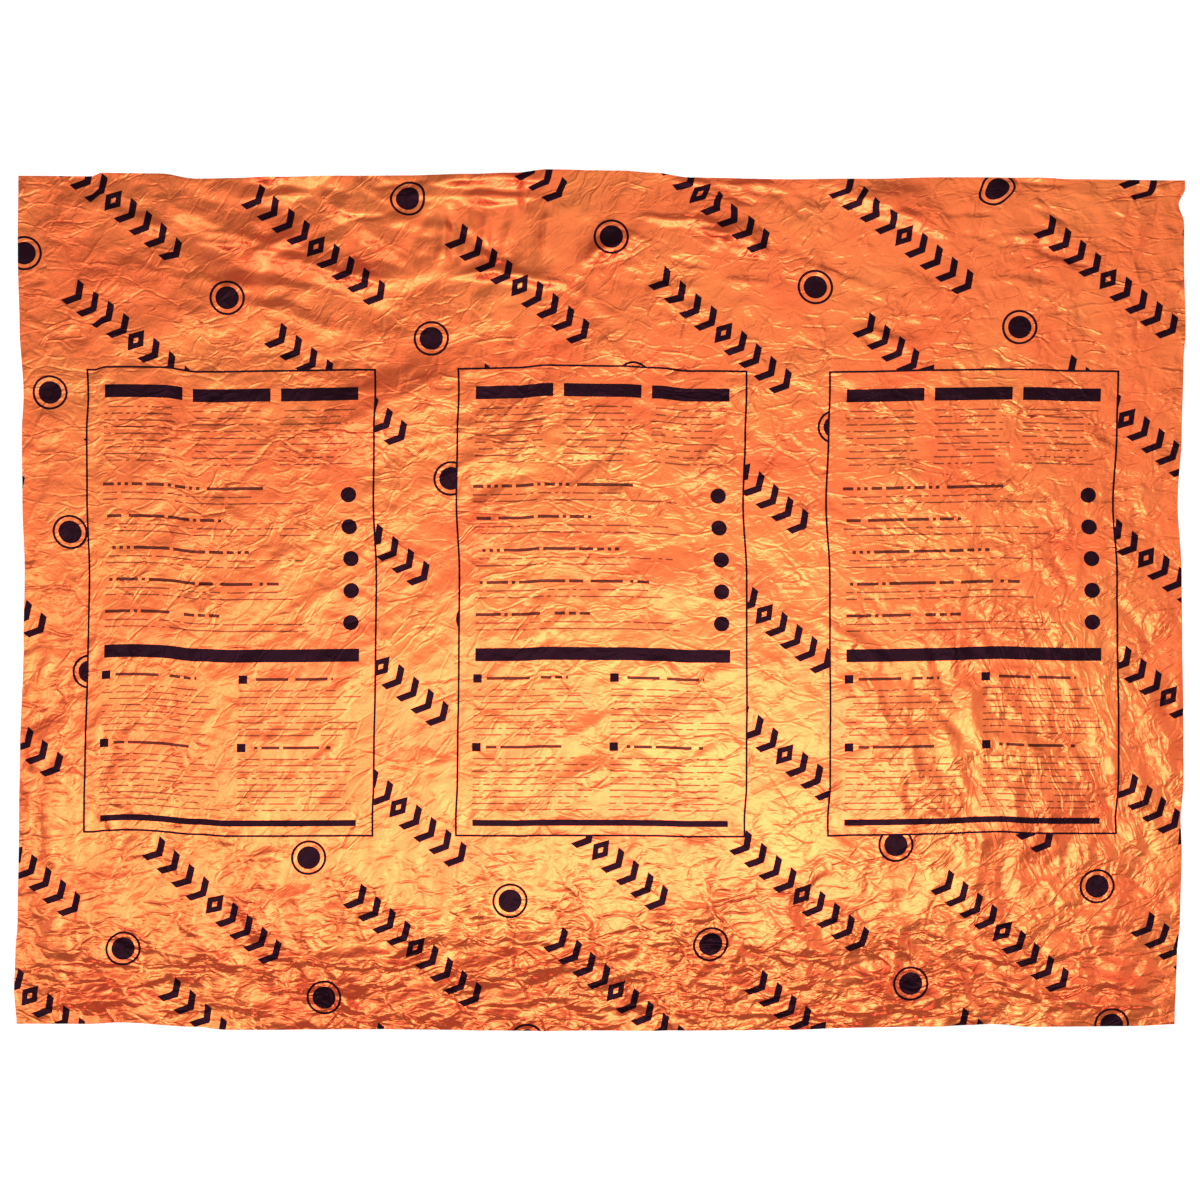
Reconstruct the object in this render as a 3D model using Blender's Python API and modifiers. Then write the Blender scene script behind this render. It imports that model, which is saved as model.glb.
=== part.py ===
"""Emergency foil blanket: one sheet of metallised film, shaken out and laid flat, creased as it lies.

Metres, +Z up, +X along the long side, +Y towards the far long edge, origin at the middle of the underside.
"""

import math
from collections import namedtuple

import bmesh
import bpy
import numpy as np
from mathutils.geometry import delaunay_2d_cdt

# The sheet as it lies: cut 2.00 x 1.50 m, and drawn in a little by its creases.
LYING_LENGTH = 1.980
LYING_WIDTH = 1.450
FILM_THICKNESS = 0.0015

# How finely the folds are first laid out, and how many triangles stay on one side.
LAYOUT_CELL = 0.008
TRIANGLES_A_SIDE = 5600
HEIGHT_STEP = 0.00001

# What lies lower than this under the loft and folds rests flat on the surface.
REST_LEVEL = 0.0012
TOUCH_LEVEL = 0.0002

# How the points are joined: triangles inside the rim only, with points nearer than this taken as one.
INSIDE_THE_RIM = 1
SAME_POINT = 0.00001

# A thinned triangle that is steeper or thinner than this is laid afresh.
LEAST_UPWARD = 0.5
THINNEST_FACE = 0.003

# The share of a fold's half length over which its end dies out.
END_TAPER = 0.6

FOIL_COLOUR = (0.80, 0.17, 0.04, 1.0)
FOIL_ROUGHNESS = 0.30

# Each edge runs a few millimetres out or in of the straight side of the lying rectangle.
EdgePoint = namedtuple("EdgePoint", "along out")
FAR_EDGE = [EdgePoint(*row) for row in (
    (-0.990, -0.002), (-0.865, -0.003), (-0.850, 0.003), (-0.750, 0.002), (-0.690, -0.007),
    (-0.570, -0.005), (-0.390, -0.002), (-0.210, 0.000), (-0.150, 0.002), (-0.095, 0.009),
    (0.030, 0.007), (0.090, 0.003), (0.150, -0.005), (0.320, -0.008), (0.440, -0.008),
    (0.570, -0.005), (0.740, -0.005), (0.800, -0.008), (0.990, -0.010),
)]
NEAR_EDGE = [EdgePoint(*row) for row in (
    (-0.990, -0.004), (-0.870, -0.004), (-0.810, -0.007), (-0.690, 0.001), (-0.630, 0.006),
    (-0.330, 0.005), (-0.090, 0.008), (0.320, 0.007), (0.440, 0.003), (0.560, 0.001),
    (0.680, -0.004), (0.740, 0.000), (0.920, 0.000), (0.990, -0.003),
)]
LEFT_EDGE = [EdgePoint(*row) for row in (
    (-0.725, 0.004), (-0.665, 0.008), (-0.605, 0.006), (-0.545, 0.002), (-0.370, -0.001),
    (-0.250, -0.003), (-0.070, -0.008), (0.050, -0.010), (0.170, -0.006), (0.290, -0.005),
    (0.350, -0.008), (0.470, -0.001), (0.590, 0.002), (0.725, 0.001),
)]
RIGHT_EDGE = [EdgePoint(*row) for row in (
    (-0.725, -0.012), (-0.605, -0.008), (-0.545, -0.003), (-0.430, 0.000), (-0.370, -0.002),
    (-0.310, 0.003), (-0.190, 0.003), (-0.070, 0.001), (0.050, 0.000), (0.170, -0.007),
    (0.290, 0.000), (0.410, 0.003), (0.470, 0.007), (0.590, 0.004), (0.652, 0.004),
    (0.684, -0.005), (0.712, 0.006), (0.725, 0.006),
)]

# Where the sheet stands a little off the surface between its folds: an oval with a soft rim.
Loft = namedtuple("Loft", "x y length width height")
LOFTS = [Loft(*row) for row in (
    (-0.55, 0.620, 0.80, 0.26, 0.0050),
    (-0.18, 0.640, 0.46, 0.20, 0.0050),
    (0.40, 0.655, 0.90, 0.14, 0.0030),
    (-0.36, 0.330, 0.50, 0.20, 0.0035),
    (0.62, -0.330, 0.60, 0.32, 0.0040),
    (-0.92, -0.380, 0.18, 0.60, 0.0045),
    (-0.82, -0.640, 0.42, 0.24, 0.0060),
    (-0.35, -0.655, 0.80, 0.20, 0.0055),
    (0.20, -0.655, 0.84, 0.20, 0.0055),
    (0.76, -0.650, 0.50, 0.22, 0.0060),
)]

# The wide, low waves that run over the whole sheet.
Wave = namedtuple("Wave", "wavelength heading height shift")
WAVES = [Wave(*row) for row in (
    (0.410, 62.0, 0.0013, 0.3),
    (0.290, 104.0, 0.0011, 1.9),
    (0.230, 18.0, 0.0009, 4.1),
    (0.170, 131.0, 0.0008, 2.6),
)]

# Each fold: the middle of its crest, its length and heading in degrees, how far the crest bows to its left,
# the reach of each flank and the height of the crest.
Fold = namedtuple("Fold", "x y length heading bow flank height")
FAR_LEFT_FOLDS = [Fold(*row) for row in (
    (-0.600, 0.706, 0.52, 0.0, 0.000, 0.016, 0.0060),
    (-0.545, 0.690, 0.15, 12.0, 0.002, 0.022, 0.0065),
    (-0.420, 0.630, 0.26, -41.0, 0.008, 0.034, 0.0110),
    (-0.395, 0.690, 0.13, -31.0, 0.000, 0.022, 0.0075),
    (-0.790, 0.618, 0.13, -56.0, 0.003, 0.026, 0.0045),
    (-0.640, 0.640, 0.24, -24.0, 0.006, 0.036, 0.0060),
    (-0.560, 0.590, 0.20, 24.0, -0.004, 0.032, 0.0050),
    (-0.530, 0.528, 0.44, -4.0, 0.004, 0.030, 0.0040),
    (-0.910, 0.520, 0.16, 14.0, 0.002, 0.030, 0.0025),
    (-0.360, 0.330, 0.38, 25.0, 0.006, 0.050, 0.0065),
    (-0.290, 0.395, 0.16, 17.0, 0.000, 0.028, 0.0040),
    (-0.610, 0.215, 0.26, 8.0, 0.004, 0.034, 0.0025),
)]
FAR_MIDDLE_FOLDS = [Fold(*row) for row in (
    (-0.170, 0.692, 0.22, 0.0, 0.000, 0.014, 0.0065),
    (-0.185, 0.668, 0.30, 0.0, 0.003, 0.018, 0.0100),
    (-0.091, 0.622, 0.11, 84.0, 0.000, 0.018, 0.0060),
    (-0.158, 0.615, 0.08, 76.0, 0.002, 0.016, 0.0045),
    (-0.240, 0.610, 0.12, 68.0, -0.003, 0.024, 0.0045),
    (-0.155, 0.540, 0.24, -4.0, 0.014, 0.030, 0.0100),
    (0.020, 0.598, 0.11, 22.0, 0.004, 0.024, 0.0075),
    (0.000, 0.500, 0.14, -34.0, 0.000, 0.024, 0.0045),
    (0.225, 0.603, 0.14, -20.0, 0.016, 0.028, 0.0080),
    (0.125, 0.527, 0.15, 3.0, 0.002, 0.022, 0.0040),
    (0.210, 0.706, 0.30, -4.0, 0.004, 0.014, 0.0060),
)]
FAR_RIGHT_FOLDS = [Fold(*row) for row in (
    (0.480, 0.668, 0.30, -24.0, 0.004, 0.028, 0.0085),
    (0.500, 0.553, 0.12, -18.0, -0.004, 0.022, 0.0045),
    (0.495, 0.452, 0.18, -15.0, -0.003, 0.028, 0.0040),
    (0.440, 0.264, 0.12, -33.0, 0.000, 0.022, 0.0040),
    (0.800, 0.690, 0.20, -14.0, 0.003, 0.020, 0.0035),
    (0.905, 0.645, 0.13, -26.0, 0.000, 0.018, 0.0030),
    (0.930, 0.300, 0.16, -48.0, 0.003, 0.026, 0.0030),
    (0.700, 0.330, 0.20, -36.0, 0.002, 0.030, 0.0025),
)]
MIDDLE_FOLDS = [Fold(*row) for row in (
    (0.430, -0.070, 0.24, -32.0, 0.004, 0.030, 0.0045),
    (0.600, -0.060, 0.22, -46.0, -0.004, 0.030, 0.0030),
    (0.645, -0.195, 0.15, -78.0, -0.008, 0.022, 0.0040),
    (0.770, -0.003, 0.10, 50.0, 0.000, 0.020, 0.0020),
    (0.855, -0.083, 0.12, -68.0, 0.000, 0.020, 0.0035),
    (0.817, -0.285, 0.11, -60.0, 0.002, 0.022, 0.0035),
    (0.940, -0.190, 0.20, 84.0, 0.003, 0.022, 0.0030),
    (-0.935, -0.235, 0.19, 51.0, 0.004, 0.028, 0.0040),
    (-0.690, -0.222, 0.16, 42.0, 0.003, 0.026, 0.0035),
    (-0.560, -0.060, 0.30, 18.0, 0.004, 0.034, 0.0020),
    (-0.440, -0.160, 0.10, 63.0, 0.000, 0.020, 0.0025),
    (-0.200, 0.010, 0.34, 12.0, 0.005, 0.036, 0.0020),
    (0.060, -0.260, 0.32, 22.0, -0.006, 0.036, 0.0025),
    (0.240, -0.120, 0.28, 14.0, 0.004, 0.034, 0.0020),
    (-0.110, -0.380, 0.26, -12.0, 0.004, 0.034, 0.0025),
    (0.270, -0.420, 0.22, 82.0, 0.004, 0.030, 0.0025),
)]
NEAR_LEFT_FOLDS = [Fold(*row) for row in (
    (-0.925, -0.350, 0.32, 86.0, 0.005, 0.022, 0.0065),
    (-0.962, -0.465, 0.16, 62.0, 0.000, 0.024, 0.0065),
    (-0.838, -0.375, 0.18, 88.0, -0.003, 0.020, 0.0050),
    (-0.700, -0.400, 0.20, 76.0, 0.004, 0.026, 0.0035),
    (-0.780, -0.590, 0.13, -13.0, 0.002, 0.020, 0.0065),
    (-0.700, -0.560, 0.16, -34.0, 0.000, 0.024, 0.0070),
    (-0.830, -0.620, 0.16, -3.0, 0.004, 0.018, 0.0065),
    (-0.810, -0.655, 0.19, 16.0, -0.008, 0.020, 0.0100),
    (-0.860, -0.692, 0.24, 3.0, 0.006, 0.018, 0.0120),
    (-0.620, -0.698, 0.24, -6.0, 0.005, 0.018, 0.0110),
    (-0.600, -0.640, 0.18, -18.0, 0.003, 0.022, 0.0080),
    (-0.550, -0.520, 0.20, 24.0, 0.004, 0.028, 0.0040),
)]
NEAR_MIDDLE_FOLDS = [Fold(*row) for row in (
    (-0.460, -0.610, 0.30, -5.0, -0.010, 0.022, 0.0090),
    (-0.450, -0.664, 0.28, 3.0, 0.006, 0.020, 0.0110),
    (-0.370, -0.706, 0.34, -2.0, 0.004, 0.015, 0.0095),
    (-0.205, -0.634, 0.20, 24.0, 0.003, 0.022, 0.0095),
    (-0.130, -0.582, 0.18, -4.0, 0.005, 0.020, 0.0070),
    (-0.110, -0.678, 0.26, 5.0, -0.005, 0.020, 0.0110),
    (-0.020, -0.612, 0.16, -8.0, 0.003, 0.020, 0.0070),
    (0.065, -0.652, 0.20, 8.0, 0.008, 0.019, 0.0090),
    (0.055, -0.698, 0.30, -3.0, 0.003, 0.015, 0.0100),
    (0.130, -0.548, 0.16, 3.0, 0.002, 0.018, 0.0050),
    (0.185, -0.622, 0.20, -5.0, 0.004, 0.020, 0.0075),
    (0.245, -0.664, 0.20, -8.0, 0.003, 0.018, 0.0090),
    (0.290, -0.706, 0.24, 2.0, 0.003, 0.015, 0.0095),
    (0.340, -0.600, 0.26, -4.0, 0.006, 0.022, 0.0070),
)]
NEAR_RIGHT_FOLDS = [Fold(*row) for row in (
    (0.560, -0.330, 0.18, -65.0, 0.004, 0.028, 0.0060),
    (0.653, -0.420, 0.16, -66.0, 0.000, 0.028, 0.0070),
    (0.760, -0.380, 0.20, -74.0, 0.004, 0.028, 0.0055),
    (0.400, -0.648, 0.24, 6.0, 0.004, 0.018, 0.0090),
    (0.450, -0.704, 0.30, 0.0, 0.003, 0.015, 0.0095),
    (0.500, -0.612, 0.18, 72.0, 0.004, 0.022, 0.0075),
    (0.600, -0.668, 0.16, 32.0, 0.002, 0.020, 0.0090),
    (0.660, -0.608, 0.20, -12.0, 0.003, 0.020, 0.0090),
    (0.770, -0.612, 0.24, 16.0, 0.003, 0.020, 0.0085),
    (0.725, -0.672, 0.22, -24.0, 0.004, 0.020, 0.0095),
    (0.835, -0.655, 0.18, 6.0, 0.003, 0.018, 0.0075),
    (0.850, -0.692, 0.26, -3.0, 0.004, 0.017, 0.0100),
    (0.925, -0.640, 0.13, 52.0, 0.002, 0.018, 0.0110),
    (0.880, -0.520, 0.16, 64.0, 0.003, 0.024, 0.0050),
)]
FOLDS = (
    FAR_LEFT_FOLDS + FAR_MIDDLE_FOLDS + FAR_RIGHT_FOLDS + MIDDLE_FOLDS
    + NEAR_LEFT_FOLDS + NEAR_MIDDLE_FOLDS + NEAR_RIGHT_FOLDS
)


def remove_scene_objects():
    """Empty the scene of its objects."""
    for thing in list(bpy.data.objects):
        bpy.data.objects.remove(thing, do_unlink=True)


def ease(amount):
    """Turn a straight rise from 0 to 1 into one that starts and ends softly."""
    amount = np.clip(amount, 0.0, 1.0)
    return amount * amount * (3.0 - 2.0 * amount)


def edge_offset(edge, along):
    """How far out of the straight side an edge runs, at each place along it."""
    stations = np.array([point.along for point in edge])
    outs = np.array([point.out for point in edge])
    after = np.clip(np.searchsorted(stations, along, side="right"), 1, len(edge) - 1)
    before = after - 1
    share = ease((along - stations[before]) / (stations[after] - stations[before]))
    return outs[before] + (outs[after] - outs[before]) * share


def outline_place(across, up):
    """Move places of the unit square, both from -1 to 1, into the outline of the lying sheet."""
    half_length = LYING_LENGTH / 2
    half_width = LYING_WIDTH / 2
    along_x = across * half_length
    along_y = up * half_width
    right = half_length + edge_offset(RIGHT_EDGE, along_y)
    left = -half_length - edge_offset(LEFT_EDGE, along_y)
    far = half_width + edge_offset(FAR_EDGE, along_x)
    near = -half_width - edge_offset(NEAR_EDGE, along_x)
    x = left + (right - left) * (across + 1) / 2
    y = near + (far - near) * (up + 1) / 2
    return x, y


def loft_height(loft, x, y):
    """Height that one raised area adds."""
    reach = np.hypot((x - loft.x) / (loft.length / 2), (y - loft.y) / (loft.width / 2))
    return loft.height * ease(1.5 * (1.0 - reach))


def wave_height(wave, x, y):
    """Height of one wide wave, about its own middle."""
    heading = math.radians(wave.heading)
    along = x * math.cos(heading) + y * math.sin(heading)
    return wave.height * np.sin(2 * math.pi * along / wave.wavelength + wave.shift)


def fold_height(fold, x, y):
    """Height of one fold: a bowed crest with two flanks, dying out towards its ends."""
    heading = math.radians(fold.heading)
    east = x - fold.x
    north = y - fold.y
    along = np.abs(east * math.cos(heading) + north * math.sin(heading)) / (fold.length / 2)
    across = north * math.cos(heading) - east * math.sin(heading) - fold.bow * (1.0 - along * along)
    return fold.height * ease(1.0 - np.abs(across) / fold.flank) * ease((1.0 - along) / END_TAPER)


def sheet_height(x, y):
    """Height of the underside over the surface, were the surface not there to hold up what is lower."""
    height = np.full_like(x, -REST_LEVEL)
    for wave in WAVES:
        height += wave_height(wave, x, y)
    for loft in LOFTS:
        height += loft_height(loft, x, y)
    crest = np.zeros_like(x)
    for fold in FOLDS:
        crest = np.maximum(crest, fold_height(fold, x, y))
    height += crest
    return np.round(height / HEIGHT_STEP) * HEIGHT_STEP


def foil_material():
    """Orange-gold metallised film."""
    material = bpy.data.materials.new("orange_foil")
    material.use_nodes = True
    shader = material.node_tree.nodes["Principled BSDF"]
    shader.inputs["Base Color"].default_value = FOIL_COLOUR
    shader.inputs["Metallic"].default_value = 1.0
    shader.inputs["Roughness"].default_value = FOIL_ROUGHNESS
    material.diffuse_color = FOIL_COLOUR
    return material


def laid_out_mesh():
    """A fine grid in the outline of the lying sheet, raised by its folds."""
    columns = round(LYING_LENGTH / LAYOUT_CELL)
    rows = round(LYING_WIDTH / LAYOUT_CELL)
    form = bmesh.new()
    bmesh.ops.create_grid(form, x_segments=columns, y_segments=rows, size=1.0)
    bmesh.ops.triangulate(form, faces=form.faces)
    places = np.array([point.co[:] for point in form.verts])
    x, y = outline_place(places[:, 0], places[:, 1])
    z = sheet_height(x, y)
    for point, place in zip(form.verts, zip(x, y, z)):
        point.co = place
    mesh = bpy.data.meshes.new("laid_out")
    form.to_mesh(mesh)
    form.free()
    return mesh


def thinned_mesh(mesh):
    """Keep many points where the folds are and few between them."""
    guide = bpy.data.objects.new("laid_out", mesh)
    bpy.context.scene.collection.objects.link(guide)
    thin = guide.modifiers.new("thin", "DECIMATE")
    thin.decimate_type = "COLLAPSE"
    thin.ratio = TRIANGLES_A_SIDE / len(mesh.polygons)
    depsgraph = bpy.context.evaluated_depsgraph_get()
    thinned = bpy.data.meshes.new_from_object(guide.evaluated_get(depsgraph))
    bpy.data.objects.remove(guide)
    return thinned


def rim_points(form):
    """The points of the cut edge, in order round the sheet."""
    point = next(edge for edge in form.edges if edge.is_boundary).verts[0]
    before = None
    rim = []
    while point.index not in rim:
        rim.append(point.index)
        beside = [edge.other_vert(point) for edge in point.link_edges if edge.is_boundary]
        after = beside[0] if beside[0] != before else beside[1]
        before, point = point, after
    return rim


def is_sound(face):
    """Whether a triangle faces up and is no sliver."""
    longest = max(edge.calc_length() for edge in face.edges)
    return face.normal.z > LEAST_UPWARD and 2 * face.calc_area() / longest > THINNEST_FACE


def sheet_mesh():
    """The sheet's underside: sound triangles on the kept points, resting where it would lie lower."""
    form = bmesh.new()
    form.from_mesh(thinned_mesh(laid_out_mesh()))
    plan = [point.co.xy for point in form.verts]
    lines = [[point.index for point in edge.verts] for edge in form.edges
             if all(is_sound(face) for face in edge.link_faces)]
    points, _, faces, *_ = delaunay_2d_cdt(plan, lines, [rim_points(form)], INSIDE_THE_RIM, SAME_POINT)
    form.free()
    x = np.array([point.x for point in points])
    y = np.array([point.y for point in points])
    z = sheet_height(x, y)
    z[z < TOUCH_LEVEL] = 0.0
    mesh = bpy.data.meshes.new("blanket")
    mesh.from_pydata(list(zip(x, y, z)), [], faces)
    return mesh


def centre_over_origin(thing):
    """Shift the mesh so that the finished solid's box is centred over the origin."""
    depsgraph = bpy.context.evaluated_depsgraph_get()
    corners = [corner[:] for corner in thing.evaluated_get(depsgraph).bound_box]
    middle = (np.min(corners, axis=0) + np.max(corners, axis=0)) / 2
    for point in thing.data.vertices:
        point.co.x -= middle[0]
        point.co.y -= middle[1]


def make_blanket(collection):
    """The sheet, thickened upwards from the underside that rests on the surface."""
    mesh = sheet_mesh()
    blanket = bpy.data.objects.new("blanket", mesh)
    collection.objects.link(blanket)
    mesh.materials.append(foil_material())
    film = blanket.modifiers.new("film", "SOLIDIFY")
    film.thickness = FILM_THICKNESS
    film.offset = 1.0
    centre_over_origin(blanket)
    mesh.shade_smooth()
    return blanket


def main():
    remove_scene_objects()
    collection = bpy.data.collections.new("emergency_foil_blanket")
    bpy.context.scene.collection.children.link(collection)
    make_blanket(collection)


main()
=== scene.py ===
"""Emergency foil blanket: the look of the sheet as it lies, seen from straight above.

Metres, +Z up, +X along the long side, +Y towards the far long edge.
"""

import math
from collections import namedtuple

import bmesh
import bpy
import numpy as np
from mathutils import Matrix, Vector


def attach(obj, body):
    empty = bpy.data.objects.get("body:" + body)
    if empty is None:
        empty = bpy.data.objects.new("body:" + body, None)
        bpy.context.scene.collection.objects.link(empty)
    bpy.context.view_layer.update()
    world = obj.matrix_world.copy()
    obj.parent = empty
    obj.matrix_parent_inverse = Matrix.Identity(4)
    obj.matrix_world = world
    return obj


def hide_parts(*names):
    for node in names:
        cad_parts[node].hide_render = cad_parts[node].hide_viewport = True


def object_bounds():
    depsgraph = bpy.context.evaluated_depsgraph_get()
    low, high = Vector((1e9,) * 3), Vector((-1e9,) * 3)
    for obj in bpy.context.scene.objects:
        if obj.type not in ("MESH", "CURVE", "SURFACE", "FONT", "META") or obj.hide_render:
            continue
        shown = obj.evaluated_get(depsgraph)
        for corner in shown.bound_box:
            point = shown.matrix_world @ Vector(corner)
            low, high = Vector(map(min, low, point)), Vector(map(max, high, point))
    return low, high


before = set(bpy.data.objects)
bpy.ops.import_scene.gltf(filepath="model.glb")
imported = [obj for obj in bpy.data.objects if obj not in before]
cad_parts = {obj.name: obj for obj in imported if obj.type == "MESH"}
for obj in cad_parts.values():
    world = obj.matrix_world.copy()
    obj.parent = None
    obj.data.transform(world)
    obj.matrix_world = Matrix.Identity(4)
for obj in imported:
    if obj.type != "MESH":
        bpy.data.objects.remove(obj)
solid_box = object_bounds()

# ---------------------------------------------------------------- the sheet's sizes

# The film as it was cut, and as it lies, drawn in by its creases.
FLAT_LENGTH = 2.00
FLAT_WIDTH = 1.50
LYING_LENGTH = 1.980
LYING_WIDTH = 1.450
# How many faces the sheet has along its length and across its width.
FACES_ALONG = 299
FACES_ACROSS = 334
# The rows of faces lie closer along the two long edges, where the tall folds are: the rows' share counted
# from the near edge, and where in the width (-1 to 1) that share lies.
ROW_SHARES = (0.00, 0.27, 0.83, 1.00)
ROW_PLACES = (-1.00, -0.66, 0.74, 1.00)
# Over how many rows or columns to each side the print's place is evened out.
EVENED = 8
# Waves and lofts lower than the first leave the film level. Then how high level film lies, and how low a
# crease may sink.
REST_LEVEL = 0.0012
LIFT = 0.0026
LOWEST = 0.0004
# How fast an oval area rises from its rim to its full share.
RIM_RISE = 1.5
# Over what share of half its length a fold's end dies out, and how softly its flanks start.
END_TAPER = 0.6
CREST_POWER = 1.15
# The folds along the near edge lean towards it: from what place and up to what heading, how far they lean,
# and how low they are.
LEANING_FROM = -0.54
LEANING_UP_TO = 40.0
NEAR_LEAN = 0.5
NEAR_SHARE = 0.46
# How tall the sheet's folds are, as a share of the solid's rounder ones.
CREST_SHARE = 0.55

# The four edges of the lying sheet: how far out of its straight side each place along an edge is.
EdgePoint = namedtuple("EdgePoint", "along out")
FAR_EDGE = [EdgePoint(*row) for row in (
    (-0.990, -0.002), (-0.865, -0.003), (-0.850, 0.003), (-0.750, 0.002), (-0.690, -0.007),
    (-0.570, -0.005), (-0.390, -0.002), (-0.210, 0.000), (-0.150, 0.002), (-0.095, 0.009),
    (0.030, 0.007), (0.090, 0.003), (0.150, -0.005), (0.320, -0.008), (0.440, -0.008),
    (0.570, -0.005), (0.740, -0.005), (0.800, -0.008), (0.990, -0.010),
)]
NEAR_EDGE = [EdgePoint(*row) for row in (
    (-0.990, -0.004), (-0.870, -0.004), (-0.810, -0.007), (-0.690, 0.001), (-0.630, 0.006),
    (-0.330, 0.005), (-0.090, 0.008), (0.320, 0.007), (0.440, 0.003), (0.560, 0.001),
    (0.680, -0.004), (0.740, 0.000), (0.920, 0.000), (0.990, -0.003),
)]
LEFT_EDGE = [EdgePoint(*row) for row in (
    (-0.725, 0.004), (-0.665, 0.008), (-0.605, 0.006), (-0.545, 0.002), (-0.370, -0.001),
    (-0.250, -0.003), (-0.070, -0.008), (0.050, -0.010), (0.170, -0.006), (0.290, -0.005),
    (0.350, -0.008), (0.470, -0.001), (0.590, 0.002), (0.725, 0.001),
)]
RIGHT_EDGE = [EdgePoint(*row) for row in (
    (-0.725, -0.012), (-0.605, -0.008), (-0.545, -0.003), (-0.430, 0.000), (-0.370, -0.002),
    (-0.310, 0.003), (-0.190, 0.003), (-0.070, 0.001), (0.050, 0.000), (0.170, -0.007),
    (0.290, 0.000), (0.410, 0.003), (0.470, 0.007), (0.590, 0.004), (0.652, 0.004),
    (0.684, -0.005), (0.712, 0.006), (0.725, 0.006),
)]

# Where the film is puffed up: ovals with soft rims.
Loft = namedtuple("Loft", "x y length width height")
LOFTS = [Loft(*row) for row in (
    (-0.60, 0.560, 0.80, 0.34, 0.0022),
    (0.40, 0.640, 0.90, 0.26, 0.0020),
    (-0.36, 0.330, 0.50, 0.20, 0.0035),
    (0.62, -0.330, 0.60, 0.32, 0.0040),
    (-0.92, -0.380, 0.32, 0.70, 0.0028),
    (-0.82, -0.620, 0.46, 0.36, 0.0042),
    (-0.35, -0.630, 0.84, 0.36, 0.0036),
    (0.20, -0.630, 0.88, 0.36, 0.0030),
    (0.76, -0.630, 0.54, 0.36, 0.0040),
)]

# The wide low waves that run through the whole sheet. They head across their crests, and the shift is in
# radians.
Wave = namedtuple("Wave", "wavelength heading height shift")
WAVES = [Wave(*row) for row in (
    (0.410, 62.0, 0.0008, 0.3),
    (0.290, 104.0, 0.0006, 1.9),
    (0.230, 18.0, 0.0004, 4.1),
    (0.170, 131.0, 0.0003, 2.6),
)]

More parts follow.
